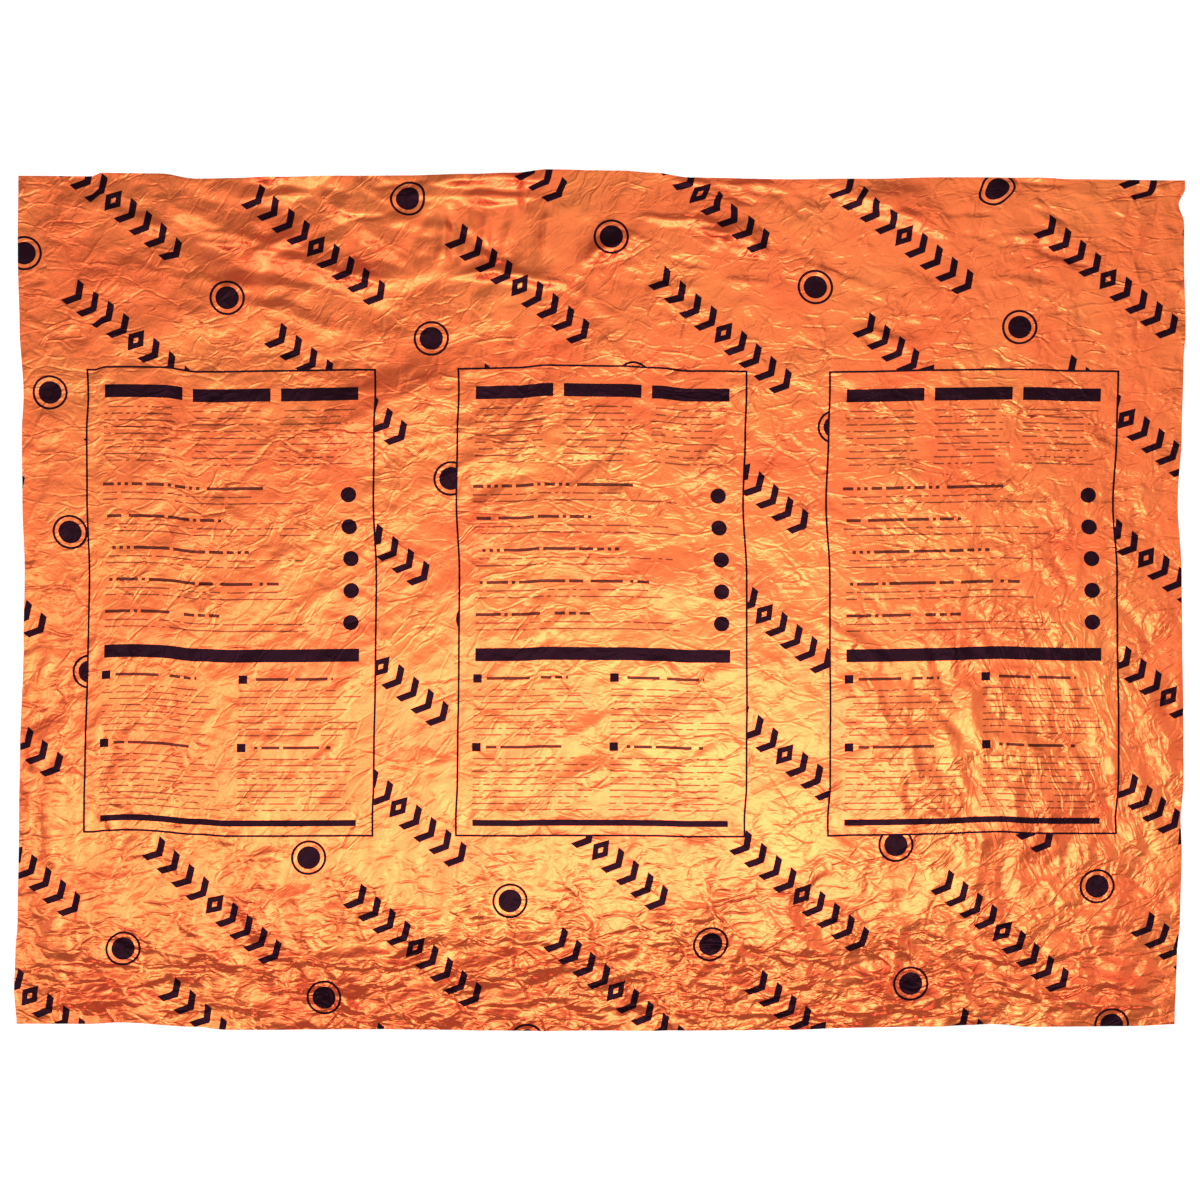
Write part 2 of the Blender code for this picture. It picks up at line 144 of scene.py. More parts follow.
# The folds, nearly all of which the solid has too. They head along their crests, in degrees from +X towards
# +Y. A lean above 0 makes the flank to the left of that heading wider and the one to its right steeper.
Fold = namedtuple("Fold", "x y length heading bow flank height lean", defaults=(0.0,))
FOLDS = [Fold(*row) for row in (
    (-0.770, 0.722, 0.36, 0.0, 0.000, 0.016, 0.0036, 0.30),
    (-0.530, 0.722, 0.17, 2.0, 0.000, 0.052, 0.0120, 0.40),
    (-0.555, 0.688, 0.15, 6.0, 0.000, 0.036, 0.0070, 0.40),
    (-0.405, 0.628, 0.25, -39.0, 0.003, 0.038, 0.0116, 0.30),
    (-0.385, 0.694, 0.13, -31.0, 0.000, 0.016, 0.0040),
    (-0.470, 0.560, 0.24, -12.0, 0.003, 0.044, 0.0124, -0.10),
    (-0.690, 0.652, 0.20, -24.0, 0.004, 0.040, 0.0060, 0.30),
    (-0.620, 0.620, 0.18, -10.0, 0.003, 0.036, 0.0070, 0.10),
    (-0.560, 0.610, 0.20, 24.0, -0.004, 0.036, 0.0060),
    (-0.540, 0.528, 0.40, -6.0, 0.004, 0.030, 0.0050),
    (-0.560, 0.500, 0.20, -16.0, 0.003, 0.018, 0.0038),
    (-0.500, 0.475, 0.18, -20.0, 0.002, 0.016, 0.0034),
    (-0.910, 0.520, 0.16, 14.0, 0.002, 0.030, 0.0025),
    (-0.360, 0.330, 0.38, 25.0, 0.006, 0.050, 0.0065),
    (-0.290, 0.395, 0.16, 17.0, 0.000, 0.028, 0.0040),
    (-0.610, 0.215, 0.26, 8.0, 0.004, 0.034, 0.0025),
    (-0.200, 0.714, 0.25, 1.0, 0.001, 0.066, 0.0136, 0.40),
    (-0.215, 0.684, 0.28, -1.5, 0.003, 0.050, 0.0092, 0.50),
    (-0.091, 0.622, 0.11, 84.0, 0.000, 0.018, 0.0060),
    (-0.158, 0.615, 0.08, 76.0, 0.002, 0.014, 0.0050),
    (-0.196, 0.610, 0.13, 84.0, 0.000, 0.018, 0.0066),
    (-0.234, 0.606, 0.10, 88.0, 0.002, 0.013, 0.0050),
    (-0.268, 0.612, 0.12, 82.0, 0.000, 0.016, 0.0062),
    (-0.155, 0.540, 0.24, -4.0, 0.014, 0.032, 0.0090, 0.30),
    (0.020, 0.598, 0.11, 22.0, 0.004, 0.024, 0.0075),
    (0.000, 0.500, 0.14, -34.0, 0.000, 0.024, 0.0045),
    (0.225, 0.603, 0.14, -20.0, 0.016, 0.032, 0.0096, 0.20),
    (0.150, 0.640, 0.26, -5.0, 0.004, 0.014, 0.0044),
    (0.125, 0.527, 0.15, 3.0, 0.002, 0.022, 0.0040),
    (0.210, 0.706, 0.30, -4.0, 0.004, 0.018, 0.0048, 0.35),
    (0.480, 0.668, 0.30, -24.0, 0.004, 0.048, 0.0076, 0.46),
    (0.500, 0.553, 0.12, -18.0, -0.004, 0.022, 0.0045),
    (0.495, 0.452, 0.18, -15.0, -0.003, 0.028, 0.0040),
    (0.440, 0.264, 0.12, -33.0, 0.000, 0.022, 0.0040),
    (0.800, 0.690, 0.20, -14.0, 0.003, 0.024, 0.0035, 0.40),
    (0.905, 0.645, 0.13, -26.0, 0.000, 0.018, 0.0030),
    (0.930, 0.300, 0.16, -48.0, 0.003, 0.026, 0.0030),
    (0.700, 0.330, 0.20, -36.0, 0.002, 0.030, 0.0025),
    (0.430, -0.070, 0.24, -32.0, 0.004, 0.030, 0.0045),
    (0.600, -0.060, 0.22, -46.0, -0.004, 0.030, 0.0030),
    (0.645, -0.195, 0.15, -78.0, -0.008, 0.018, 0.0032),
    (0.770, -0.003, 0.10, 50.0, 0.000, 0.020, 0.0020),
    (0.855, -0.083, 0.12, -68.0, 0.000, 0.020, 0.0035),
    (0.817, -0.285, 0.11, -60.0, 0.002, 0.022, 0.0035),
    (0.940, -0.190, 0.20, 84.0, 0.003, 0.022, 0.0030),
    (-0.935, -0.235, 0.19, 51.0, 0.004, 0.028, 0.0040),
    (-0.690, -0.222, 0.16, 42.0, 0.003, 0.026, 0.0035),
    (-0.560, -0.060, 0.30, 18.0, 0.004, 0.034, 0.0020),
    (-0.440, -0.160, 0.10, 63.0, 0.000, 0.020, 0.0025),
    (-0.200, 0.010, 0.34, 12.0, 0.005, 0.036, 0.0020),
    (0.060, -0.260, 0.32, 22.0, -0.006, 0.036, 0.0025),
    (0.240, -0.120, 0.28, 14.0, 0.004, 0.034, 0.0020),
    (-0.110, -0.380, 0.26, -12.0, 0.004, 0.034, 0.0025),
    (0.270, -0.420, 0.22, 82.0, 0.004, 0.030, 0.0025),
    (-0.925, -0.350, 0.32, 82.0, 0.009, 0.022, 0.0030),
    (-0.962, -0.465, 0.16, 62.0, 0.000, 0.024, 0.0028),
    (-0.838, -0.375, 0.18, 76.0, -0.008, 0.014, 0.0010),
    (-0.700, -0.400, 0.20, 68.0, 0.008, 0.018, 0.0020),
    (-0.780, -0.590, 0.13, -13.0, 0.002, 0.020, 0.0065),
    (-0.700, -0.560, 0.13, -42.0, 0.000, 0.009, 0.0030),
    (-0.830, -0.620, 0.16, -3.0, 0.004, 0.018, 0.0065),
    (-0.810, -0.655, 0.19, 16.0, -0.008, 0.020, 0.0100),
    (-0.860, -0.692, 0.24, 3.0, 0.006, 0.018, 0.0120),
    (-0.620, -0.698, 0.24, -6.0, 0.005, 0.018, 0.0110),
    (-0.600, -0.640, 0.18, -18.0, 0.003, 0.022, 0.0080),
    (-0.550, -0.520, 0.20, 24.0, 0.004, 0.028, 0.0040),
    (-0.460, -0.610, 0.30, -5.0, -0.010, 0.022, 0.0090),
    (-0.450, -0.664, 0.28, 3.0, 0.006, 0.020, 0.0110),
    (-0.370, -0.706, 0.34, -2.0, 0.004, 0.015, 0.0095),
    (-0.205, -0.634, 0.20, 24.0, 0.003, 0.022, 0.0095),
    (-0.130, -0.582, 0.18, -4.0, 0.005, 0.020, 0.0070),
    (-0.110, -0.678, 0.26, 5.0, -0.005, 0.020, 0.0110),
    (-0.020, -0.612, 0.16, -8.0, 0.003, 0.020, 0.0045),
    (0.065, -0.652, 0.20, 8.0, 0.008, 0.019, 0.0060),
    (0.055, -0.698, 0.30, -3.0, 0.003, 0.015, 0.0065),
    (0.130, -0.548, 0.16, 3.0, 0.002, 0.018, 0.0030),
    (0.185, -0.622, 0.20, -5.0, 0.004, 0.020, 0.0045),
    (0.245, -0.664, 0.20, -8.0, 0.003, 0.018, 0.0055),
    (0.290, -0.706, 0.24, 2.0, 0.003, 0.015, 0.0095),
    (0.340, -0.600, 0.26, -4.0, 0.006, 0.022, 0.0045),
    (0.560, -0.330, 0.18, -65.0, 0.004, 0.020, 0.0036),
    (0.653, -0.420, 0.16, -66.0, 0.000, 0.020, 0.0038),
    (0.760, -0.380, 0.20, -74.0, 0.004, 0.020, 0.0034),
    (0.400, -0.648, 0.24, 6.0, 0.004, 0.018, 0.0090),
    (0.450, -0.704, 0.30, 0.0, 0.003, 0.015, 0.0095),
    (0.500, -0.612, 0.18, 72.0, 0.004, 0.022, 0.0075),
    (0.600, -0.668, 0.16, 32.0, 0.002, 0.020, 0.0090),
    (0.660, -0.608, 0.20, -12.0, 0.003, 0.020, 0.0090),
    (0.770, -0.612, 0.24, 16.0, 0.003, 0.020, 0.0085),
    (0.725, -0.672, 0.22, -24.0, 0.004, 0.020, 0.0095),
    (0.835, -0.655, 0.18, 6.0, 0.003, 0.018, 0.0075),
    (0.850, -0.692, 0.26, -3.0, 0.004, 0.017, 0.0100),
    (0.925, -0.640, 0.13, 52.0, 0.002, 0.018, 0.0060),
    (0.880, -0.520, 0.16, 64.0, 0.003, 0.024, 0.0050),
)]

# Where the film is crumpled into flat facets: an oval with a soft rim, the heading along which the facets
# are drawn out and by how much, and the height of its wide and small facets.
Crumple = namedtuple("Crumple", "x y length width heading stretch wide small")
CRUMPLES = [Crumple(*row) for row in (
    (0.00, 0.10, 3.60, 2.60, 20.0, 2.0, 0.0008, 0.0003),
    (-0.48, 0.62, 0.96, 0.46, -30.0, 1.8, 0.0026, 0.0012),
    (-0.15, 0.62, 0.50, 0.34, 85.0, 2.0, 0.0014, 0.0007),
    (-0.40, -0.22, 1.20, 0.60, 40.0, 2.4, 0.0006, 0.0004),
    (0.35, -0.22, 1.00, 0.60, 10.0, 2.2, 0.0004, 0.0003),
    (0.72, -0.28, 0.60, 0.56, 95.0, 2.4, 0.0015, 0.0008),
    (-0.90, -0.35, 0.30, 0.80, 80.0, 2.6, 0.0012, 0.0007),
    (-0.25, -0.67, 1.90, 0.34, 14.0, 2.0, 0.0030, 0.0020),
    (0.60, -0.67, 1.20, 0.30, 20.0, 2.0, 0.0020, 0.0014),
    (0.00, -0.50, 2.20, 0.34, 30.0, 1.8, 0.0008, 0.0006),
)]
WIDE_FACET = 0.060
SMALL_FACET = 0.027
# How far the small facets are turned from the wide ones.
SMALL_FACET_TURN = 19.0
# The facets' chance heights, how far apart the places of two kinds of facet lie in them, and the skew that
# evens out the triangles of a square grid.
FACET_SEED = 41
CHANCE_SIZE = 256
CHANCE_TABLE = np.random.default_rng(FACET_SEED).uniform(-1.0, 1.0, (CHANCE_SIZE, CHANCE_SIZE))
APART_ALONG = 17.3
APART_ACROSS = 9.1
TRIANGLE_SKEW = 0.366

# How uneven the folds' crests are, and the facets that make them so.
CREST_UNEVEN = 0.35
CrestFacet = namedtuple("CrestFacet", "size stretch heading seed")
CREST_FACET = CrestFacet(0.034, 2.0, 5.0, 71)

# The kinks in the folds: facets that shift a place to the east or to the north by up to their shift.
Kink = namedtuple("Kink", "shift size heading seed")
KINKS_EAST = (Kink(0.0045, 0.060, 10.0, 61), Kink(0.0030, 0.026, 50.0, 62))
KINKS_NORTH = (Kink(0.0045, 0.060, 35.0, 63), Kink(0.0030, 0.026, 80.0, 64), Kink(0.0016, 0.014, 65.0, 65))

# Patches of small creases: an oval, how many lie in it, their heading and its spread, their usual length,
# flank and height, and how much steeper the faces are that look to their right. About half of them rise,
# and the others sink.
Patch = namedtuple("Patch", "x y length width count heading spread long flank height lean")
PATCHES = [Patch(*row) for row in (
    (-0.48, 0.63, 0.70, 0.24, 26, -30.0, 26.0, 0.100, 0.011, 0.0016, -0.3),
    (-0.15, 0.60, 0.40, 0.20, 26, 80.0, 26.0, 0.070, 0.012, 0.0012, 0.0),
    (0.45, 0.60, 1.00, 0.32, 34, -20.0, 18.0, 0.110, 0.014, 0.0017, -0.3),
    (-0.30, 0.32, 0.80, 0.30, 50, 22.0, 25.0, 0.090, 0.011, 0.0011, 0.0),
    (-0.50, -0.20, 1.10, 0.60, 200, 38.0, 24.0, 0.080, 0.009, 0.0008, 0.0),
    (0.20, -0.26, 0.90, 0.60, 200, 10.0, 50.0, 0.070, 0.008, 0.0006, 0.0),
    (0.74, -0.26, 0.56, 0.66, 90, 104.0, 16.0, 0.110, 0.010, 0.0016, 0.45),
    (-0.92, -0.36, 0.20, 0.60, 70, 80.0, 20.0, 0.090, 0.009, 0.0015, 0.0),
    (0.00, -0.52, 2.00, 0.22, 220, 8.0, 35.0, 0.060, 0.008, 0.0010, 0.4),
    (0.00, -0.65, 2.00, 0.16, 170, 8.0, 34.0, 0.095, 0.011, 0.0022, 0.5),
)]

# How each crease of a patch varies: half its length, its flank and its height, as shares of the patch's
# usual ones, and what is added to its lean.
CREASE_SEED = 23
HALF_LENGTHS = (0.25, 0.75)
FLANKS = (0.6, 1.4)
HEIGHTS = (0.3, 1.0)
LEANS = (-0.3, 0.3)

# The finest crinkles: which way they run (0 left to right, 1 up to the right, 2 up and down), and how deep
# their small and wide cells are. The first row holds everywhere, and each other one adds to it in its oval.
Grain = namedtuple("Grain", "x y length width run small wide")
GRAINS = [Grain(*row) for row in (
    (0.00, 0.00, 9.00, 9.00, 0.20, 0.36, 0.42),
    (-0.50, 0.62, 1.00, 0.44, 0.50, -0.10, -0.10),
    (-0.15, 0.62, 0.50, 0.40, 0.90, -0.16, -0.22),
    (0.45, 0.62, 1.20, 0.44, 0.30, -0.08, -0.10),
    (-0.55, -0.20, 1.30, 0.90, 0.70, 0.00, 0.04),
    (0.00, -0.20, 2.00, 1.00, 0.00, -0.16, -0.16),
    (0.78, -0.28, 0.70, 0.80, 1.50, 0.06, 0.06),
    (0.00, -0.66, 2.60, 0.44, -0.40, 0.34, 0.42),
    (0.80, 0.10, 0.70, 0.80, 0.30, 0.10, 0.06),
)]

# ---------------------------------------------------------------- the sheet's shape


def ease(amount):
    """Turn a straight rise from 0 to 1 into one that starts and ends softly."""
    amount = np.clip(amount, 0.0, 1.0)
    return amount * amount * (3.0 - 2.0 * amount)


def edge_offset(edge, along):
    """How far out of the straight side an edge runs, at each place along it."""
    stations = np.array([point.along for point in edge])
    outs = np.array([point.out for point in edge])
    after = np.clip(np.searchsorted(stations, along, side="right"), 1, len(edge) - 1)
    before = after - 1
    share = ease((along - stations[before]) / (stations[after] - stations[before]))
    return outs[before] + (outs[after] - outs[before]) * share


def outline_place(across, up):
    """Move places of the unit square, both from -1 to 1, into the outline of the lying sheet."""
    half_length = LYING_LENGTH / 2
    half_width = LYING_WIDTH / 2
    along_x = across * half_length
    along_y = up * half_width
    right = half_length + edge_offset(RIGHT_EDGE, along_y)
    left = -half_length - edge_offset(LEFT_EDGE, along_y)
    far = half_width + edge_offset(FAR_EDGE, along_x)
    near = -half_width - edge_offset(NEAR_EDGE, along_x)
    x = left + (right - left) * (across + 1) / 2
    y = near + (far - near) * (up + 1) / 2
    return x, y


def oval_share(area, x, y):
    """1 in the middle of an oval area, falling softly to 0 at its rim."""
    reach = np.hypot((x - area.x) / (area.length / 2), (y - area.y) / (area.width / 2))
    return ease(RIM_RISE * (1.0 - reach))


def wave_height(wave, x, y):
    """Height of one wide wave, about its own middle."""
    heading = math.radians(wave.heading)
    along = x * math.cos(heading) + y * math.sin(heading)
    return wave.height * np.sin(2 * math.pi * along / wave.wavelength + wave.shift)


def pointed(amount):
    """Turn a straight rise from 0 to 1 into one that starts a little softly and comes to a sharp crest."""
    return np.clip(amount, 0.0, 1.0) ** CREST_POWER


def fold_height(fold, x, y):
    """Height of one fold: a bowed sharp crest with two flanks, dying out towards its ends."""
    heading = math.radians(fold.heading)
    east = x - fold.x
    north = y - fold.y
    along = np.abs(east * math.cos(heading) + north * math.sin(heading)) / (fold.length / 2)
    across = north * math.cos(heading) - east * math.sin(heading) - fold.bow * (1.0 - along * along)
    near = fold.y < LEANING_FROM and abs(fold.heading) < LEANING_UP_TO
    lean = NEAR_LEAN if near else fold.lean
    height = fold.height * (NEAR_SHARE if near else 1.0)
    flank = fold.flank * np.where(across < 0, 1.0 - lean, 1.0 + lean)
    return height * pointed(np.clip((1.0 - along) / END_TAPER, 0.0, 1.0) - np.abs(across) / flank)


def facets(x, y, size, stretch, heading, seed):
    """Chance heights from -1 to 1, joined by flat triangles that are drawn out along a heading."""
    turn = math.radians(heading)
    along = (x * math.cos(turn) + y * math.sin(turn)) / (size * stretch) + APART_ALONG * seed
    across = (y * math.cos(turn) - x * math.sin(turn)) / size + APART_ACROSS * seed
    skew = (along + across) * TRIANGLE_SKEW
    along = along + skew
    across = across + skew
    # Each square is cut into two triangles along its diagonal.
    i = np.floor(along).astype(int)
    j = np.floor(across).astype(int)
    a = along - i
    b = across - j
    step_i = (a > b).astype(int)
    first = CHANCE_TABLE[i % CHANCE_SIZE, j % CHANCE_SIZE]
    second = CHANCE_TABLE[(i + step_i) % CHANCE_SIZE, (j + 1 - step_i) % CHANCE_SIZE]
    third = CHANCE_TABLE[(i + 1) % CHANCE_SIZE, (j + 1) % CHANCE_SIZE]
    return first * (1 - np.maximum(a, b)) + second * np.abs(a - b) + third * np.minimum(a, b)


def crumple_height(x, y):
    """Height of the crumpled film's facets, over and under its folds."""
    height = np.zeros_like(x)
    for seed, area in enumerate(CRUMPLES, 1):
        share = oval_share(area, x, y)
        wide = (WIDE_FACET, area.wide, area.heading)
        small = (SMALL_FACET, area.small, area.heading + SMALL_FACET_TURN)
        for size, tall, heading in (wide, small):
            height += share * tall * facets(x, y, size, area.stretch, heading, seed)
    return height


def crinkle_height(x, y):
    """Height of the many small creases, each at a chance place in its patch."""
    draws = np.random.default_rng(CREASE_SEED)
    height = np.zeros_like(x)
    row_y = y.mean(axis=1)
    column_x = x.mean(axis=0)
    for patch in PATCHES:
        for _ in range(patch.count):
            reach = math.sqrt(draws.random())
            bearing = 2 * math.pi * draws.random()
            middle_x = patch.x + reach * math.cos(bearing) * patch.length / 2
            middle_y = patch.y + reach * math.sin(bearing) * patch.width / 2
            heading = math.radians(patch.heading + patch.spread * draws.normal())
            half = patch.long * draws.uniform(*HALF_LENGTHS)
            flank = patch.flank * draws.uniform(*FLANKS)
            way_up = draws.choice((-1.0, 1.0))
            tall = patch.height * draws.uniform(*HEIGHTS) * way_up
            lean = patch.lean * way_up + draws.uniform(*LEANS)
            span = half + 2 * flank
            rows = slice(*np.searchsorted(row_y, (middle_y - span, middle_y + span)))
            columns = slice(*np.searchsorted(column_x, (middle_x - span, middle_x + span)))
            east = x[rows, columns] - middle_x
            north = y[rows, columns] - middle_y
            along = np.abs(east * math.cos(heading) + north * math.sin(heading)) / half
            across = north * math.cos(heading) - east * math.sin(heading)
            slope = np.where(across > 0, across / (flank * (1 + lean)), -across / (flank * (1 - lean)))
            height[rows, columns] += tall * np.clip(ease((1 - along) / END_TAPER) - slope, 0, 1)
    return height


def kink_shift(kinks, x, y):
    """How far the kinks shift each place."""
    return sum(kink.shift * facets(x, y, kink.size, 1.0, kink.heading, kink.seed) for kink in kinks)


def kinked(x, y):
    """Shift places a little, so that what is drawn there has kinks and wanders."""
    return x + kink_shift(KINKS_EAST, x, y), y + kink_shift(KINKS_NORTH, x, y)


def sheet_height(x, y):
    """Height of the film over the surface."""
    x, y = kinked(x, y)
    height = np.full_like(x, -REST_LEVEL)
    for wave in WAVES:
        height += wave_height(wave, x, y)
    for loft in LOFTS:
        height += loft.height * oval_share(loft, x, y)
    crest = np.zeros_like(x)
    for fold in FOLDS:
        crest = np.maximum(crest, fold_height(fold, x, y))
    crest *= 1.0 + CREST_UNEVEN * facets(x, y, *CREST_FACET)
    height = np.maximum(height + CREST_SHARE * crest, 0.0)
    return np.maximum(height + LIFT + crumple_height(x, y) + crinkle_height(x, y), LOWEST)


def crinkle_grain(x, y):
    """Which way the finest crinkles run, and how deep their small and wide cells are."""
    grain = np.zeros(x.shape + (3,))
    for area in GRAINS:
        share = oval_share(area, x, y)
        grain += share[..., None] * np.array((area.run, area.small, area.wide))
    return np.maximum(grain, 0.0)


def run_along(x, y, z, axis):
    """How far along the film each point lies, as a share of its row or column, evened out a little."""
    steps = np.sqrt(sum(np.diff(place, axis=axis) ** 2 for place in (x, y, z)))
    run = np.insert(np.cumsum(steps, axis=axis), 0, 0.0, axis=axis)
    run = np.moveaxis(run / np.take(run, [-1], axis=axis), axis, 0)
    last = run.shape[1] - 1
    near = [run[:, np.clip(np.arange(last + 1) + step, 0, last)] for step in range(-EVENED, EVENED + 1)]
    return np.moveaxis(sum(near) / len(near), 0, axis)


def make_blanket():
    """The film as one open sheet, whose print lies where it was before the film was creased."""
    form = bmesh.new()
    bmesh.ops.create_grid(form, x_segments=FACES_ALONG, y_segments=FACES_ACROSS, size=1.0)
    mesh = bpy.data.meshes.new("foil_sheet")
    form.to_mesh(mesh)
    form.free()
    places = np.empty(len(mesh.vertices) * 3)
    mesh.vertices.foreach_get("co", places)
    across, up, _ = places.reshape(FACES_ACROSS + 1, FACES_ALONG + 1, 3).transpose(2, 0, 1)
    up = np.interp((up + 1) / 2, ROW_SHARES, ROW_PLACES)
    x, y = outline_place(across, up)
    x += (solid_box[0][0] + solid_box[1][0]) / 2 - (x.min() + x.max()) / 2
    y += (solid_box[0][1] + solid_box[1][1]) / 2 - (y.min() + y.max()) / 2
    z = sheet_height(x, y)
    mesh.vertices.foreach_set("co", np.stack((x, y, z), axis=-1).ravel())
    corners = np.empty(len(mesh.loops), dtype=int)
    mesh.loops.foreach_get("vertex_index", corners)
    cut = np.stack((run_along(x, y, z, 1), run_along(x, y, z, 0)), axis=-1).reshape(-1, 2)
    mesh.uv_layers.new(name="cut").uv.foreach_set("vector", cut[corners].ravel())
    grain = mesh.attributes.new(name="grain", type="FLOAT_VECTOR", domain="POINT")
    grain.data.foreach_set("vector", crinkle_grain(x, y).ravel())
    mesh.shade_smooth()
    mesh.update()
    blanket = bpy.data.objects.new("foil_sheet", mesh)
    bpy.context.scene.collection.objects.link(blanket)
    mesh.materials.append(foil_material())
    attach(blanket, "root")
    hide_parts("blanket")


# ---------------------------------------------------------------- shader maths

MIX_COLOUR_A = 6
MIX_COLOUR_B = 7
MIX_COLOUR_OUT = 2


def add_node(tree, kind, settings=None, sockets=None, output=0):
    """Add any node: its settings first, then the values or wires of its sockets."""
    node = tree.nodes.new(kind)
    for name, value in (settings or {}).items():
        setattr(node, name, value)
    for name, value in (sockets or {}).items():
        if isinstance(value, Wire):
            tree.links.new(value.socket, node.inputs[name])
        else:
            node.inputs[name].default_value = value
    return Wire(node.outputs[output])


class Wire:
    """An output socket that can be written into Python sums, which add the Math nodes that they need."""

    def __init__(self, socket):
        self.socket = socket

    def node(self, kind, settings=None, sockets=None, output=0):
        """Add any node to the tree that this wire is in."""
        return add_node(self.socket.id_data, kind, settings, sockets, output)

    def other(self, output):
        """Another output of the node that this wire comes from."""
        return Wire(self.socket.node.outputs[output])

    def math(self, operation, *values):
        """Add a Math node."""
        return self.node("ShaderNodeMath", {"operation": operation}, dict(enumerate(values)))

    def __add__(self, other):
        return self.math("ADD", self, other)

    __radd__ = __add__

    def __sub__(self, other):
        return self.math("SUBTRACT", self, other)

    def __rsub__(self, other):
        return self.math("SUBTRACT", other, self)

    def __mul__(self, other):
        return self.math("MULTIPLY", self, other)

    __rmul__ = __mul__

    def __truediv__(self, other):
        return self.math("DIVIDE", self, other)

    def __rtruediv__(self, other):
        return self.math("DIVIDE", other, self)

    def __abs__(self):
        return self.math("ABSOLUTE", self)

    def __lt__(self, other):
        return self.math("LESS_THAN", self, other)

    def __gt__(self, other):
        return self.math("GREATER_THAN", self, other)

    def __and__(self, other):
        return self.math("MINIMUM", self, other)

    __rand__ = __and__

    def __or__(self, other):
        return self.math("MAXIMUM", self, other)

    __ror__ = __or__

    def floor(self):
        return self.math("FLOOR", self)

    def root(self):
        return self.math("SQRT", self)

    def wrapped(self, size):
        """How far into its repeat of this size a value is, counted from the repeat's middle."""
        return self.math("WRAP", self, size / 2, -size / 2)

    def split(self):
        """The three numbers of a vector or colour."""
        parts = self.node("ShaderNodeSeparateXYZ", None, {"Vector": self}, "X")
        return parts, parts.other("Y"), parts.other("Z")


def point(a, b, c=0.0):
    """A vector from wires or numbers, the first of them a wire."""
    return a.node("ShaderNodeCombineXYZ", None, {"X": a, "Y": b, "Z": c})


def eased_between(value, start, end, low, high):
    """Go softly from one number to another while a value goes from start to end."""
    sockets = {"Value": value, "From Min": start, "From Max": end, "To Min": low, "To Max": high}
    return value.node("ShaderNodeMapRange", {"interpolation_type": "SMOOTHSTEP"}, sockets)


def mixed(share, first, second):
    """A colour that goes from the first to the second as the share goes from 0 to 1."""
    sockets = {"Factor": share, MIX_COLOUR_A: first, MIX_COLOUR_B: second}
    return share.node("ShaderNodeMix", {"data_type": "RGBA"}, sockets, MIX_COLOUR_OUT)


def cloud(p, q, size, seed):
    """Soft chance values about 0.5 that change over this size."""
    sockets = {"Vector": point(p / size, q / size, seed), "Scale": 1.0, "Detail": 1.0}
    return p.node("ShaderNodeTexNoise", None, sockets, "Fac")


def chance(a, b):
    """A chance number from 0 to 1 for each pair of whole numbers."""
    return a.node("ShaderNodeTexWhiteNoise", {"noise_dimensions": "2D"}, {"Vector": point(a, b)}, "Value")


# ---------------------------------------------------------------- the print


def inside(p, q, x, y, length, width):
    """1 in a box about a point."""
    return (abs(p - x) < length / 2) & (abs(q - y) < width / 2)


def ring(reach, radius, stroke):
    """1 in a ring, from the distance to its middle."""
    return abs(reach - (radius - stroke / 2)) < stroke / 2


# The rows of marks: their slant, how far apart they lie, their repeat, and how far each is shifted from the
# last.
ROW_SLANT = math.radians(-40.0)
ROW_PITCH = 0.166
ROW_REPEAT = 0.500
ROW_SHIFT = 0.185
# A run of marks, like arrowheads but for the middle one. Their arms sweep back, so much for each metre off
# the row.
RUN_START = -0.235
MARKS = 9
MARK_PITCH = 0.0335
MARK_TALL = 0.048
MARK_STROKE = 0.0135
MARK_SWEEP = 0.55
# The middle mark, a lozenge with an open middle.
LOZENGE_SQUEEZE = 1.5
LOZENGE_HOLE = MARK_TALL / 7
# The ringed dot after each run.
RING_PLACE = 0.163
RING_RADIUS = 0.0305
RING_STROKE = 0.0042
RINGED_DOT_RADIUS = RING_RADIUS * 0.66


def marked_rows(p, q):
    """Rows that slant down to the right, each a run of swept marks about a lozenge, then a ringed dot."""
    along = p * math.cos(ROW_SLANT) + q * math.sin(ROW_SLANT)
    across = q * math.cos(ROW_SLANT) - p * math.sin(ROW_SLANT)
    row = (across / ROW_PITCH + 0.5).floor()
    across = across.wrapped(ROW_PITCH)
    along = (along + row * ROW_SHIFT).wrapped(ROW_REPEAT)
    off = abs(across)
    swept = along + off * MARK_SWEEP - RUN_START
    number = (swept / MARK_PITCH).floor()
    within = swept - (number + 0.5) * MARK_PITCH
    middle = MARKS // 2
    in_run = (number > -0.5) & (number < MARKS - 0.5)
    is_middle = abs(number - middle) < 0.5
    swept_mark = (abs(within) < MARK_STROKE / 2) & (off < MARK_TALL / 2) & in_run & (1 - is_middle)
    lozenge_place = RUN_START + (middle + 0.5) * MARK_PITCH - MARK_SWEEP * MARK_TALL / 4
    spread = abs(along - lozenge_place) * LOZENGE_SQUEEZE + off
    lozenge = (spread < MARK_TALL / 2) & (spread > LOZENGE_HOLE)
    east = along - RING_PLACE
    reach = (east * east + across * across).root()
    ringed_dot = ring(reach, RING_RADIUS, RING_STROKE) | (reach < RINGED_DOT_RADIUS)
    return swept_mark | lozenge | ringed_dot


# The framed panels. Everything in them is counted from their middle.
PANELS = 3
PANEL_SPACING = 0.640
PANEL_LENGTH = 0.500
PANEL_WIDTH = 0.820
FRAME_STROKE = 0.0036
# The bars: a long one under the middle, a thin one at the foot, and a short one over each of three columns.
BAR_LENGTH = 0.440
BAR_WIDTH = 0.023
LONG_BAR_PLACE = -0.092
FOOT_BAR_PLACE = -0.386
FOOT_BAR_WIDTH = 0.011
SHORT_BAR_PLACE = 0.366
SHORT_BAR_LENGTH = 0.134
PANEL_COLUMNS = 3
COLUMN_WIDTH = 0.152
